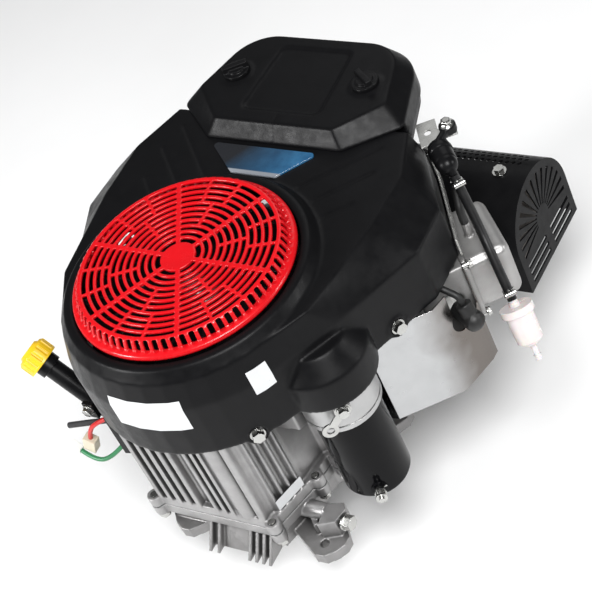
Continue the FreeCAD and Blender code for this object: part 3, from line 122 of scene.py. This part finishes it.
def mix(tree, factor, a, b):
    """Mix of two colours; each is a colour or a socket."""
    node = add(tree, "ShaderNodeMix", data_type="RGBA")
    tree.links.new(factor, node.inputs["Factor"])
    for socket, value in ((node.inputs["A"], a), (node.inputs["B"], b)):
        if isinstance(value, tuple):
            socket.default_value = (*value, 1.0)
        else:
            tree.links.new(value, socket)
    return node.outputs["Result"]


def times(tree, a, b):
    node = add(tree, "ShaderNodeMath", operation="MULTIPLY")
    for socket, value in zip(node.inputs, (a, b)):
        if isinstance(value, float):
            socket.default_value = value
        else:
            tree.links.new(value, socket)
    return node.outputs["Value"]


def scaled(colour, k):
    return tuple(min(1.0, c * k) for c in colour)


def edge_mask(tree, radius):
    """1 on edges that are sharper than the rounding radius, 0 on open faces."""
    rounded = add(tree, "ShaderNodeBevel", {"Radius": radius}, samples=4)
    plain = add(tree, "ShaderNodeNewGeometry")
    dot = add(tree, "ShaderNodeVectorMath", operation="DOT_PRODUCT")
    tree.links.new(rounded.outputs["Normal"], dot.inputs[0])
    tree.links.new(plain.outputs["Normal"], dot.inputs[1])
    return rounded.outputs["Normal"], remap(tree, dot.outputs["Value"], 1.0, 0.0, 0.9, 0.995)


def surface(name, colour, rough, metal=0.0, grain=1500.0, depth=0.08, blotch=0.12, worn=None,
            wear=0.0, edge=0.8, waves=None, shadow=0.0, scratches=0.0, sockets=None):
    """The shared build-up: blotchy colour, worn edges, painted shade in hollows, uneven gloss, grain and
    rounded edges.

    grain is in cycles per metre, depth and edge in millimetres."""
    material, tree, shader = new_material(name)
    blotches = remap(tree, noise(tree, 38.0, 6.0), 0.0, 1.0)
    tint = mix(tree, blotches, scaled(colour, 1.0 - blotch), scaled(colour, 1.0 + blotch))
    rounded, edges = edge_mask(tree, edge * MM)
    patches = remap(tree, noise(tree, 210.0, 5.0), 0.0, 1.0, 0.42, 0.62)
    if wear > 0.0:
        rub = times(tree, times(tree, edges, patches), wear)
        tint = mix(tree, rub, tint, worn)
    # Painted shade: where ambient occlusion finds a hollow, the colour is darkened towards 0.16 of itself,
    # scaled by shadow.
    if shadow > 0.0:
        hollow = add(tree, "ShaderNodeAmbientOcclusion", {"Distance": 14.0 * MM}, samples=6)
        painted_shade = times(tree, remap(tree, hollow.outputs["AO"], 1.0, 0.0, 0.25, 0.95), shadow)
        tint = mix(tree, painted_shade, tint, scaled(colour, 0.16))
    tree.links.new(tint, shader.inputs["Base Color"])
    gloss = remap(tree, noise(tree, 95.0, 5.0), max(0.03, rough - 0.07), rough + 0.08)
    tree.links.new(gloss, shader.inputs["Roughness"])
    fine = add(tree, "ShaderNodeBump", {"Strength": 1.0, "Distance": depth * MM})
    tree.links.new(noise(tree, grain, 3.0, 0.6), fine.inputs["Height"])
    tree.links.new(rounded, fine.inputs["Normal"])
    last = fine
    if waves:
        scale, height = waves
        broad = add(tree, "ShaderNodeBump", {"Strength": 1.0, "Distance": height * MM})
        tree.links.new(noise(tree, scale, 2.0, 0.4), broad.inputs["Height"])
        tree.links.new(last.outputs["Normal"], broad.inputs["Normal"])
        last = broad
    if scratches > 0.0:
        lines = add(tree, "ShaderNodeBump", {"Strength": 1.0, "Distance": scratches * MM})
        tree.links.new(noise(tree, 60.0, 6.0, 0.8, (1.0, 1.0, 30.0)), lines.inputs["Height"])
        tree.links.new(last.outputs["Normal"], lines.inputs["Normal"])
        last = lines
    tree.links.new(last.outputs["Normal"], shader.inputs["Normal"])
    shader.inputs["Metallic"].default_value = metal
    for key, value in (sockets or {}).items():
        shader.inputs[key].default_value = value
    return material


# ---------------------------------------------------------------- materials

# What wear shows: dust-grey on black parts, bare metal on metal ones
LIGHT_GREY = (0.30, 0.30, 0.31)
BRIGHT = (0.92, 0.92, 0.91)


def badge_material():
    """A blank glossy badge: black at the left, blue at the right, with one light streak."""
    material, tree, shader = new_material("badge_print")
    coords = add(tree, "ShaderNodeTexCoord")
    split = add(tree, "ShaderNodeSeparateXYZ")
    tree.links.new(coords.outputs["Object"], split.inputs["Vector"])
    lean = add(tree, "ShaderNodeMath", operation="ADD")
    tree.links.new(split.outputs["X"], lean.inputs[0])
    tree.links.new(times(tree, split.outputs["Y"], -0.6), lean.inputs[1])
    blue = remap(tree, lean.outputs["Value"], 0.0, 1.0, -0.135, -0.055)
    clouds = remap(tree, noise(tree, 60.0, 5.0), 0.0, 1.0)
    cloudy = mix(tree, clouds, (0.012, 0.075, 0.17), (0.03, 0.14, 0.28))
    tint = mix(tree, blue, (0.012, 0.013, 0.016), cloudy)
    border = remap(tree, split.outputs["Y"], 1.0, 0.0, 0.1455, 0.1465)
    tint = mix(tree, border, tint, (0.25, 0.27, 0.30))
    tree.links.new(tint, shader.inputs["Base Color"])
    tree.links.new(remap(tree, noise(tree, 90.0, 4.0), 0.12, 0.22), shader.inputs["Roughness"])
    dents = add(tree, "ShaderNodeBump", {"Strength": 0.4, "Distance": 0.05 * MM})
    tree.links.new(noise(tree, 300.0, 3.0), dents.inputs["Height"])
    tree.links.new(dents.outputs["Normal"], shader.inputs["Normal"])
    shader.inputs["Coat Weight"].default_value = 0.6
    return material


def darkened_along(material, along, darkening_starts, darkening_full, colour, most, uneven):
    """Darken a material unevenly towards a colour: none at darkening_starts and most at darkening_full, in
    metres along.

    The direction is mirrored, so both sides of the engine get the same darkening."""
    tree = material.node_tree
    shader = tree.nodes["Principled BSDF"]
    bare = shader.inputs["Base Color"].links[0].from_socket
    coords = add(tree, "ShaderNodeTexCoord")
    mirror = add(tree, "ShaderNodeVectorMath", operation="ABSOLUTE")
    reach = add(tree, "ShaderNodeVectorMath", {1: along}, operation="DOT_PRODUCT")
    tree.links.new(coords.outputs["Object"], mirror.inputs[0])
    tree.links.new(mirror.outputs["Vector"], reach.inputs[0])
    patchy = add(tree, "ShaderNodeMath", {1: uneven}, operation="MULTIPLY_ADD")
    tree.links.new(remap(tree, noise(tree, 13.0, 3.0), -0.5, 0.5), patchy.inputs[0])
    tree.links.new(reach.outputs["Value"], patchy.inputs[2])
    # The mask: on the air guide a painted dark reflection, on the casting a darkening towards the bottom.
    film = remap(tree, patchy.outputs["Value"], 0.0, most, darkening_starts, darkening_full)
    tree.links.new(mix(tree, film, bare, colour), shader.inputs["Base Color"])
    return material


def label_material():
    """Blank film label: satin silver-white with faint creases."""
    return surface("label_film", (0.62, 0.63, 0.64), rough=0.34, metal=0.15, grain=700.0, depth=0.03,
                   blotch=0.05, edge=0.2, waves=(60.0, 0.08))


def filter_body_material():
    """Translucent white plastic."""
    return surface("filter_plastic", (0.86, 0.80, 0.79), rough=0.22, grain=500.0, depth=0.03, blotch=0.05,
                   shadow=0.12,
                   sockets={"Subsurface Weight": 0.35, "Subsurface Scale": 0.006, "Transmission Weight": 0.25,
                            "IOR": 1.45, "Coat Weight": 0.3})


def sleeve_material():
    """Braided sleeving: two crossing sets of fine ridges."""
    material, tree, shader = new_material("braided_sleeve")
    coords = add(tree, "ShaderNodeTexCoord")
    height = None
    for angle in (0.7, -0.7):
        mapping = add(tree, "ShaderNodeMapping", {"Rotation": (angle, angle, 0.6)})
        wave = add(tree, "ShaderNodeTexWave", {"Scale": 380.0, "Distortion": 1.0, "Detail": 2.0})
        tree.links.new(coords.outputs["Object"], mapping.inputs["Vector"])
        tree.links.new(mapping.outputs["Vector"], wave.inputs["Vector"])
        height = wave.outputs["Fac"] if height is None else times(tree, height, wave.outputs["Fac"])
    tint = mix(tree, height, (0.008, 0.008, 0.009), (0.05, 0.05, 0.052))
    tree.links.new(tint, shader.inputs["Base Color"])
    tree.links.new(remap(tree, noise(tree, 200.0), 0.5, 0.7), shader.inputs["Roughness"])
    bump = add(tree, "ShaderNodeBump", {"Strength": 1.0, "Distance": 0.3 * MM})
    tree.links.new(height, bump.inputs["Height"])
    tree.links.new(bump.outputs["Normal"], shader.inputs["Normal"])
    return material


def black_materials():
    """Plastics, paints and rubbers that are black."""
    made = {}
    made["housing_black"] = surface("grained_black_plastic", (0.0045, 0.0045, 0.005), rough=0.36,
                                    grain=2100.0, depth=0.06, blotch=0.10, worn=LIGHT_GREY, wear=0.03,
                                    edge=1.6, sockets={"Specular IOR Level": 0.12})
    made["black_plastic"] = surface("moulded_black_plastic", (0.005, 0.005, 0.0055), rough=0.32,
                                    grain=1600.0, depth=0.03, blotch=0.10, worn=LIGHT_GREY, wear=0.04,
                                    edge=0.9, sockets={"Specular IOR Level": 0.16})
    made["black_metal"] = surface("satin_black_steel", (0.005, 0.005, 0.0055), rough=0.30, grain=900.0,
                                  depth=0.03, blotch=0.10, worn=LIGHT_GREY, wear=0.04, edge=0.7,
                                  sockets={"Specular IOR Level": 0.14})
    made["guard_black"] = surface("heatproof_black_paint", (0.005, 0.005, 0.0055), rough=0.38, grain=1700.0,
                                  depth=0.04, worn=LIGHT_GREY, wear=0.04, edge=0.7,
                                  sockets={"Specular IOR Level": 0.10})
    made["gloss_black"] = surface("gloss_black_paint", (0.0025, 0.0025, 0.003), rough=0.12, grain=500.0,
                                  depth=0.012, blotch=0.08, worn=LIGHT_GREY, wear=0.04, edge=1.0,
                                  waves=(70.0, 0.03),
                                  sockets={"Specular IOR Level": 0.07, "Coat Weight": 0.06})
    made["black_rubber"] = surface("black_rubber", (0.007, 0.007, 0.007), rough=0.50, grain=1400.0,
                                   depth=0.05, blotch=0.15, worn=LIGHT_GREY, wear=0.08, edge=0.9)
    made["hose_rubber"] = surface("hose_rubber", (0.007, 0.007, 0.0075), rough=0.34, grain=1200.0,
                                  depth=0.03, blotch=0.15, worn=LIGHT_GREY, wear=0.05, waves=(90.0, 0.1))
    made["braid"] = sleeve_material()
    return made


def metal_materials():
    """Castings, machined faces, sheet and plated fasteners."""
    made = {}
    # Darker towards the bottom: below 50 mm high the casting is mixed towards a dark grey.
    made["cast_alu"] = darkened_along(
        surface("cast_aluminium", (0.345, 0.34, 0.34), rough=0.40, metal=0.72, grain=1300.0, depth=0.14,
                worn=BRIGHT, wear=0.45, edge=1.0, waves=(160.0, 0.25), shadow=0.88),
        along=(0.0, 0.0, 1.0), darkening_starts=0.050, darkening_full=-0.010, colour=(0.060, 0.057, 0.053), most=0.55,
        uneven=0.02)
    made["cast_alu_light"] = surface("light_cast_aluminium", (0.36, 0.355, 0.35), rough=0.42, metal=0.70,
                                     grain=1300.0, depth=0.12, blotch=0.10, worn=BRIGHT, wear=0.45,
                                     edge=1.0, waves=(160.0, 0.2), shadow=0.55)
    made["alu_machined"] = surface("machined_aluminium", (0.42, 0.42, 0.42), rough=0.34, metal=0.95,
                                   grain=900.0, depth=0.03, blotch=0.06, worn=BRIGHT, wear=0.5, shadow=0.25,
                                   scratches=0.02)
    made["alu_dark"] = surface("dull_die_cast", (0.30, 0.30, 0.30), rough=0.45, metal=0.85, grain=1300.0,
                               depth=0.10, worn=BRIGHT, wear=0.4, shadow=0.4)
    made["zinc"] = surface("zinc_plated_steel", (0.46, 0.46, 0.445), rough=0.22, metal=1.0, grain=700.0,
                           depth=0.02, blotch=0.08, worn=BRIGHT, wear=0.4, edge=0.5, shadow=0.2)
    made["zinc_sheet"] = surface("bright_zinc_sheet", (0.42, 0.42, 0.405), rough=0.26, metal=0.7,
                                 grain=600.0, depth=0.012, blotch=0.05, worn=BRIGHT, wear=0.4, edge=0.6,
                                 waves=(22.0, 0.9), shadow=0.1, scratches=0.01)
    # Painted reflection: a brown darkening along the guide stands for its dark reflection bands; the brown
    # tint is partly a stain.
    made["guide_sheet"] = darkened_along(
        surface("stained_zinc_painted_reflection", (0.44, 0.445, 0.45), rough=0.20, metal=1.0, grain=600.0, depth=0.012,
                blotch=0.05, worn=BRIGHT, wear=0.3, edge=0.6, waves=(22.0, 1.2), shadow=0.1, scratches=0.01),
        along=(0.707, 0.707, 0.0), darkening_starts=0.180, darkening_full=0.222, colour=(0.115, 0.095, 0.080), most=0.85,
        uneven=0.025)
    made["steel"] = surface("machined_steel", (0.42, 0.42, 0.43), rough=0.28, metal=1.0, grain=900.0,
                            depth=0.02, blotch=0.08, worn=BRIGHT, wear=0.4, edge=0.5, shadow=0.3,
                            scratches=0.015)
    made["burnt_steel"] = surface("dull_exhaust_steel", (0.20, 0.18, 0.165), rough=0.46, metal=0.9,
                                  grain=800.0, depth=0.05, blotch=0.25, worn=BRIGHT, wear=0.3, shadow=0.4)
    made["cast_iron"] = surface("machined_iron", (0.17, 0.17, 0.175), rough=0.42, metal=0.9, grain=1100.0,
                                worn=BRIGHT, wear=0.4, shadow=0.4)
    return made


def coloured_materials():
    """Coloured plastics, wires, film, paper, fibre and ceramic."""
    made = {}
    made["red_plastic"] = surface("red_gloss_plastic", (0.56, 0.004, 0.008), rough=0.24, grain=900.0,
                                  depth=0.02, blotch=0.06, worn=(0.70, 0.04, 0.04), wear=0.15, edge=0.6,
                                  shadow=0.35, sockets={"Specular IOR Level": 0.35, "Coat Weight": 0.15})
    made["yellow_plastic"] = surface("yellow_moulded_plastic", (0.74, 0.46, 0.015), rough=0.32, grain=900.0,
                                     depth=0.03, blotch=0.08, worn=(0.9, 0.75, 0.25), wear=0.4, edge=0.7,
                                     shadow=0.3)
    made["white_plastic"] = surface("white_moulded_plastic", (0.82, 0.82, 0.79), rough=0.32, grain=900.0,
                                    depth=0.03, blotch=0.04, edge=0.5, shadow=0.3)
    made["beige_plastic"] = surface("beige_moulded_plastic", (0.58, 0.52, 0.40), rough=0.36, grain=900.0,
                                    depth=0.03, blotch=0.06, edge=0.5, shadow=0.3)
    made["filter_white"] = filter_body_material()
    made["filter_paper"] = surface("pleated_paper", (0.62, 0.50, 0.30), rough=0.85, grain=1800.0, depth=0.1,
                                   blotch=0.1, edge=0.4)
    made["red_wire"] = surface("red_insulation", (0.50, 0.012, 0.012), rough=0.35, grain=700.0, depth=0.02,
                               blotch=0.1, edge=0.4)
    made["green_wire"] = surface("green_insulation", (0.02, 0.16, 0.06), rough=0.35, grain=700.0,
                                 depth=0.02, blotch=0.1, edge=0.4)
    made["badge"] = badge_material()
    made["label"] = label_material()
    made["gasket"] = surface("gasket_fibre", (0.06, 0.065, 0.065), rough=0.8, grain=2500.0, blotch=0.15,
                             edge=0.2)
    made["ceramic_steel"] = surface("glazed_ceramic", (0.80, 0.80, 0.78), rough=0.12, grain=400.0,
                                    depth=0.01, blotch=0.05, edge=0.5, sockets={"Coat Weight": 0.6})
    return made


def make_materials():
    return {**black_materials(), **metal_materials(), **coloured_materials()}


# ---------------------------------------------------------------- pieces from the frame

def place(piece, node, material):
    """A new piece that stands for a CAD node and rides on its body."""
    piece.data.materials.clear()
    piece.data.materials.append(material)
    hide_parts(node)
    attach(piece, BODY_OF[node])
    return piece


def evaluated_mesh(piece):
    graph = bpy.context.evaluated_depsgraph_get()
    return bpy.data.meshes.new_from_object(piece.evaluated_get(graph))


def moulded(node, voxel, rounds, material):
    """The node's solid again as one closed skin with soft moulded edges; voxel is in millimetres."""
    piece = bpy.data.objects.new(node + "_skin", NODES[node].data.copy())
    bpy.context.scene.collection.objects.link(piece)
    remesh = piece.modifiers.new("remesh", "REMESH")
    remesh.mode = "VOXEL"
    remesh.voxel_size = voxel * MM
    smooth = piece.modifiers.new("smooth", "SMOOTH")
    smooth.factor = 0.5
    smooth.iterations = rounds
    mesh = evaluated_mesh(piece)
    piece.modifiers.clear()
    piece.data = mesh
    mesh.polygons.foreach_set("use_smooth", [True] * len(mesh.polygons))
    return place(piece, node, material)


def crisp(node, width, material):
    """The CAD node itself, with its edges rounded by width millimetres."""
    piece = NODES[node]
    piece.data.materials.clear()
    piece.data.materials.append(material)
    piece.data.polygons.foreach_set("material_index", [0] * len(piece.data.polygons))
    piece.data.polygons.foreach_set("use_smooth", [True] * len(piece.data.polygons))
    weld = piece.modifiers.new("weld", "WELD")
    weld.merge_threshold = 0.005 * MM
    flat = piece.modifiers.new("flat", "DECIMATE")
    flat.decimate_type = "DISSOLVE"
    flat.angle_limit = math.radians(0.4)
    bevel = piece.modifiers.new("bevel", "BEVEL")
    bevel.width = width * MM
    bevel.segments = 2
    bevel.limit_method = "ANGLE"
    bevel.angle_limit = math.radians(28.0)
    bevel.harden_normals = True
    weighted = piece.modifiers.new("weighted", "WEIGHTED_NORMAL")
    weighted.keep_sharp = True
    return piece


# node: voxel size in mm and smoothing rounds
MOULDED = {
    "blower_housing": (1.6, 9),
    "air_cleaner_cover": (1.3, 7),
    "screen": (0.75, 2),
    "crankcase": (1.2, 3),
    "sump": (1.0, 3),
    "heads": (1.5, 3),
    "valve_covers": (1.4, 3),
    "intake_manifold": (1.6, 4),
    "carburettor": (1.5, 3),
    "fuel_pump": (0.9, 4),
    "plug_caps": (0.9, 5),
    "knob_left": (0.6, 3),
    "knob_right": (0.6, 3),
    "charge_plug": (0.5, 3),
    "stop_plug": (0.4, 2),
}

# node: a material other than its slot's own
FINISH = {"air_guides": "guide_sheet"}
# node: edge rounding in mm; the rest get the default
EDGE = {
    "muffler_guard": 0.35,
    "hose_clamps": 0.3,
    "labels": 0.05,
    "gaskets": 0.1,
    "badge": 0.5,
    "air_guides": 0.4,
    "cylinders": 0.8,
    "oil_cap": 0.7,
    "starter_can": 0.6,
    "starter_nose": 0.6,
    "regulator": 0.8,
}
DEFAULT_EDGE = 0.4
CORDS = ("fuel_hose", "charge_lead", "stop_lead", "harness_sleeve")

# Where plated hardware starts, in metres
STARTER_XY = Vector((0.134, -0.014))
CAN_RADIUS = 0.0386
CAN_FOOT = 0.0568
GUARD_CROWN = 0.1824
TUBE_BOLT_Y = -0.0861
PUMP_BOLT_XY = Vector((0.1764, 0.2484))
PUMP_BOLT_RADIUS = 0.0085
PUMP_TOP = 0.3142


def starter_hardware(at):
    """Terminal, nuts and through-bolt heads, outside the can itself."""
    return (at.xy - STARTER_XY).length > CAN_RADIUS or at.z < CAN_FOOT


def guard_hardware(at):
    """Bolt heads on the guard's crown."""
    return at.z > GUARD_CROWN


def tube_hardware(at):
    """The bolt that holds the fill tube's bracket."""
    return at.y < TUBE_BOLT_Y


def pump_hardware(at):
    """The bolt through the fuel pump's ear."""
    return at.z > PUMP_TOP and (at.xy - PUMP_BOLT_XY).length < PUMP_BOLT_RADIUS


# node: the test that finds its plated pieces
PLATED = {
    "starter_can": starter_hardware,
    "muffler_guard": guard_hardware,
    "oil_tube": tube_hardware,
    "fuel_pump": pump_hardware,
}


def plate(piece, test, material):
    """Give the faces that pass the test a second material."""
    piece.data.materials.append(material)
    for face in piece.data.polygons:
        if test(face.center):
            face.material_index = 1


def dress_frame(materials):
    for node in sorted(NODES):
        material = materials[FINISH.get(node, SLOT_OF[node])]
        if node in CORDS:
            continue
        if node in MOULDED:
            voxel, rounds = MOULDED[node]
            piece = moulded(node, voxel, rounds, material)
        else:
            piece = crisp(node, EDGE.get(node, DEFAULT_EDGE), material)
        if node in PLATED:
            plate(piece, PLATED[node], materials["zinc"])


# ---------------------------------------------------------------- cords

HOSE_DIAMETER = 0.0103
LEAD_DIAMETER = 0.0052
SLEEVE_DIAMETER = 0.0068
# Control points in metres, held end first
FUEL_HOSE = [(0.2008, 0.1996, 0.2926), (0.219, 0.184, 0.247),
             (0.240, 0.162, 0.211), (0.256, 0.146, 0.174)]
CHARGE_LEAD = [(-0.1196, -0.0924, 0.176), (-0.136, -0.098, 0.170),
               (-0.150, -0.101, 0.157), (-0.156, -0.101, 0.142)]
STOP_LEAD = [(-0.1194, -0.0964, 0.133), (-0.135, -0.106, 0.119),
             (-0.156, -0.111, 0.114), (-0.175, -0.107, 0.122)]
HARNESS_SLEEVE = [(-0.1195, -0.086, 0.166), (-0.139, -0.091, 0.163),
                  (-0.160, -0.097, 0.161), (-0.180, -0.099, 0.155)]


def route(name, points, diameter):
    data = bpy.data.curves.new(name, "CURVE")
    data.dimensions = "3D"
    data.bevel_depth = diameter / 2.0
    data.bevel_resolution = 6
    data.resolution_u = 16
    data.use_fill_caps = True
    spline = data.splines.new("NURBS")
    spline.points.add(len(points) - 1)
    for point, at in zip(spline.points, points):
        point.co = (*at, 1.0)
    spline.order_u = 3
    spline.use_endpoint_u = True
    piece = bpy.data.objects.new(name, data)
    bpy.context.scene.collection.objects.link(piece)
    return piece


def make_cords(materials):
    hose = route("fuel_line", FUEL_HOSE, HOSE_DIAMETER)
    place(hose, "fuel_hose", materials["hose_rubber"])
    red = route("charge_wire", CHARGE_LEAD, LEAD_DIAMETER)
    place(red, "charge_lead", materials["red_wire"])
    green = route("stop_wire", STOP_LEAD, LEAD_DIAMETER)
    place(green, "stop_lead", materials["green_wire"])
    sleeve = route("braided_sleeve", HARNESS_SLEEVE, SLEEVE_DIAMETER)
    place(sleeve, "harness_sleeve", materials["braid"])


# ---------------------------------------------------------------- floor and light

FLOOR_GAP = 0.0005


def make_floor():
    material, tree, shader = new_material("floor_paper")
    tint = mix(tree, remap(tree, noise(tree, 3.0, 3.0), 0.0, 1.0), (0.86, 0.86, 0.86), (0.90, 0.90, 0.90))
    tree.links.new(tint, shader.inputs["Base Color"])
    tree.links.new(remap(tree, noise(tree, 40.0, 3.0), 0.75, 0.85), shader.inputs["Roughness"])
    shader.inputs["Specular IOR Level"].default_value = 0.1
    mesh = bpy.data.meshes.new("floor")
    grid = bmesh.new()
    bmesh.ops.create_grid(grid, x_segments=8, y_segments=8, size=9.0)
    grid.to_mesh(mesh)
    grid.free()
    mesh.materials.append(material)
    floor = bpy.data.objects.new("floor", mesh)
    floor.location.z = CAD_BOX[0][2] - FLOOR_GAP
    bpy.context.scene.collection.objects.link(floor)


# name: direction from the target, distance, size, power
LIGHTS = {
    "top": ((0.46, -0.36, 0.80), 3.0, 1.6, 128.0),
    "left": ((-0.60, -0.72, 0.42), 2.0, 0.6, 34.0),
    "right": ((0.92, 0.456, 0.30), 2.0, 0.5, 9.0),
    "fill": ((-0.30, 0.90, 0.70), 3.2, 2.0, 9.0),
}
WORLD_COLOUR = (0.96, 0.98, 1.0)
WORLD_STRENGTH = 0.12


def make_lights():
    for name, (direction, distance, size, power) in LIGHTS.items():
        data = bpy.data.lights.new(name, "AREA")
        data.shape = "DISK"
        data.size = size
        data.energy = power
        light = bpy.data.objects.new(name, data)
        bpy.context.scene.collection.objects.link(light)
        away = Vector(direction).normalized()
        light.location = CAMERA_TARGET + away * distance
        light.rotation_mode = "QUATERNION"
        light.rotation_quaternion = (-away).to_track_quat("-Z", "Y")
    world = bpy.data.worlds.new("studio")
    world.use_nodes = True
    background = world.node_tree.nodes["Background"]
    background.inputs["Color"].default_value = (*WORLD_COLOUR, 1.0)
    background.inputs["Strength"].default_value = WORLD_STRENGTH
    bpy.context.scene.world = world


def main():
    bpy.context.scene.view_settings.view_transform = "Standard"
    make_camera()
    materials = make_materials()
    dress_frame(materials)
    make_cords(materials)
    make_floor()
    make_lights()


main()
